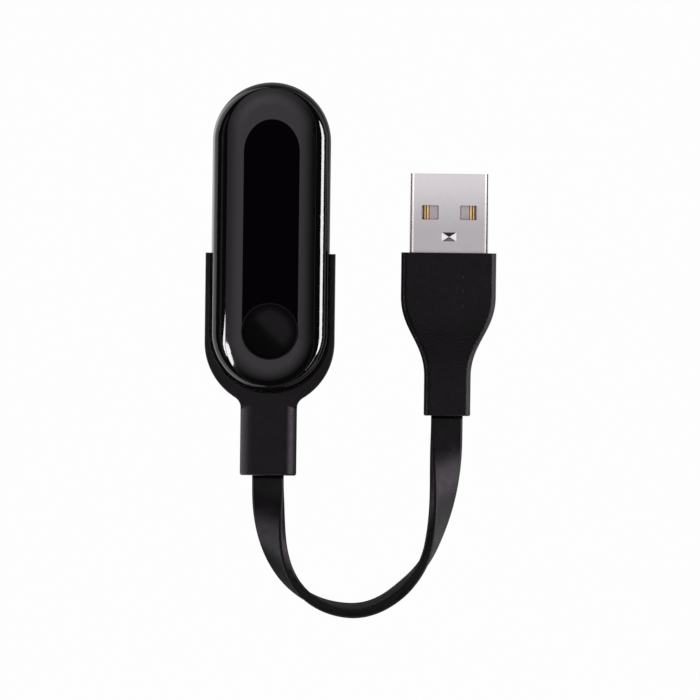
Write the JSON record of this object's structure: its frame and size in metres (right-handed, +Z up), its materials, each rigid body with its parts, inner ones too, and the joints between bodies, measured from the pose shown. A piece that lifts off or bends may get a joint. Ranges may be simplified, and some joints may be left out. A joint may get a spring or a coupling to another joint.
{
  "type": "fitness tracker module in charging cradle",
  "caption": "Glossy capsule-shaped fitness tracker module with a dark display and touch dish, held in a U-shaped charging cradle with a short flat cable and a USB-A plug.",
  "frame": {"origin": "centre of the cradle and tracker's footprint, on the surface that they stand on", "axes": "+X across the tracker towards the plug, +Y along the tracker and out of the cradle's open end, +Z up, out of the display"},
  "size_m": [0.0441, 0.0823, 0.0143],
  "materials": {
    "housing_gloss": "gloss",
    "front_lens": "gloss",
    "display_black": "gloss",
    "adhesive": "matte",
    "seal_rubber": "matte",
    "sensor_window": "gloss",
    "board_green": "satin",
    "chip_black": "matte",
    "led_green": "gloss",
    "shield_steel": "satin",
    "weight_metal": "satin",
    "gold": "gloss",
    "spring_steel": "satin",
    "battery_foil": "satin",
    "flex_amber": "satin",
    "wire_red": "satin",
    "chassis_grey": "matte",
    "cradle_plastic": "satin",
    "cable_rubber": "satin",
    "overmold": "matte",
    "plug_steel": "satin",
    "insulator": "matte",
    "inner_mold": "matte"
  },
  "bodies": {
    "cradle": {"cradle_shell": "cradle_plastic", "cradle_base_cover": "cradle_plastic", "cable_grommet": "seal_rubber", "cradle_board": "board_green", "cradle_wires": "wire_red", "pin_barrels": "gold", "pin_spring_left": "spring_steel", "pin_spring_right": "spring_steel", "flat_cable": "cable_rubber", "plug_overmold": "overmold", "plug_shell": "plug_steel", "plug_insulator": "insulator", "plug_contacts": "gold", "plug_inner_mold": "inner_mold", "plug_wires": "wire_red"},
    "capsule": {"upper_housing": "housing_gloss", "front_lens": "front_lens", "lens_adhesive": "adhesive", "lower_housing": "housing_gloss", "housing_gasket": "seal_rubber", "sensor_window": "sensor_window", "sensor_board": "board_green", "sensor_leds": "led_green", "sensor_photodiode": "chip_black", "display_panel": "display_black", "display_flex": "flex_amber", "touch_electrode": "gold", "main_board": "board_green", "processor_chip": "chip_black", "board_chips": "chip_black", "accelerometer_chip": "chip_black", "shield_can": "shield_steel", "radio_chip": "chip_black", "inner_chassis": "chassis_grey", "battery_pouch": "battery_foil", "battery_leads": "wire_red", "antenna_strip": "gold", "charge_contacts": "gold", "contact_springs": "gold", "motor_can": "shield_steel"},
    "motor_rotor": {"motor_shaft": "shield_steel", "motor_weight": "weight_metal"},
    "left_pin": {"pin_plunger_left": "gold"},
    "right_pin": {"pin_plunger_right": "gold"}
  },
  "joints": [
    {"name": "capsule_slide", "type": "slide", "parent": "cradle", "child": "capsule", "axis": [0, 1, 0], "range_m": [0, 0.026]},
    {"name": "pin_press_left", "type": "slide", "parent": "cradle", "child": "left_pin", "axis": [0, 0, 1], "range_m": [-0.00035, 0], "stiffness_N_per_m": 200, "springref_m": 0.0006, "deforming": ["pin_spring_left"]},
    {"name": "pin_press_right", "type": "slide", "parent": "cradle", "child": "right_pin", "axis": [0, 0, 1], "range_m": [-0.00035, 0], "stiffness_N_per_m": 200, "springref_m": 0.0006, "deforming": ["pin_spring_right"]},
    {"name": "motor_spin", "type": "hinge", "parent": "capsule", "child": "motor_rotor", "pos_m": [0.0028, -0.0099, 0.0069], "axis": [1, 0, 0], "continuous": true}
  ]
}
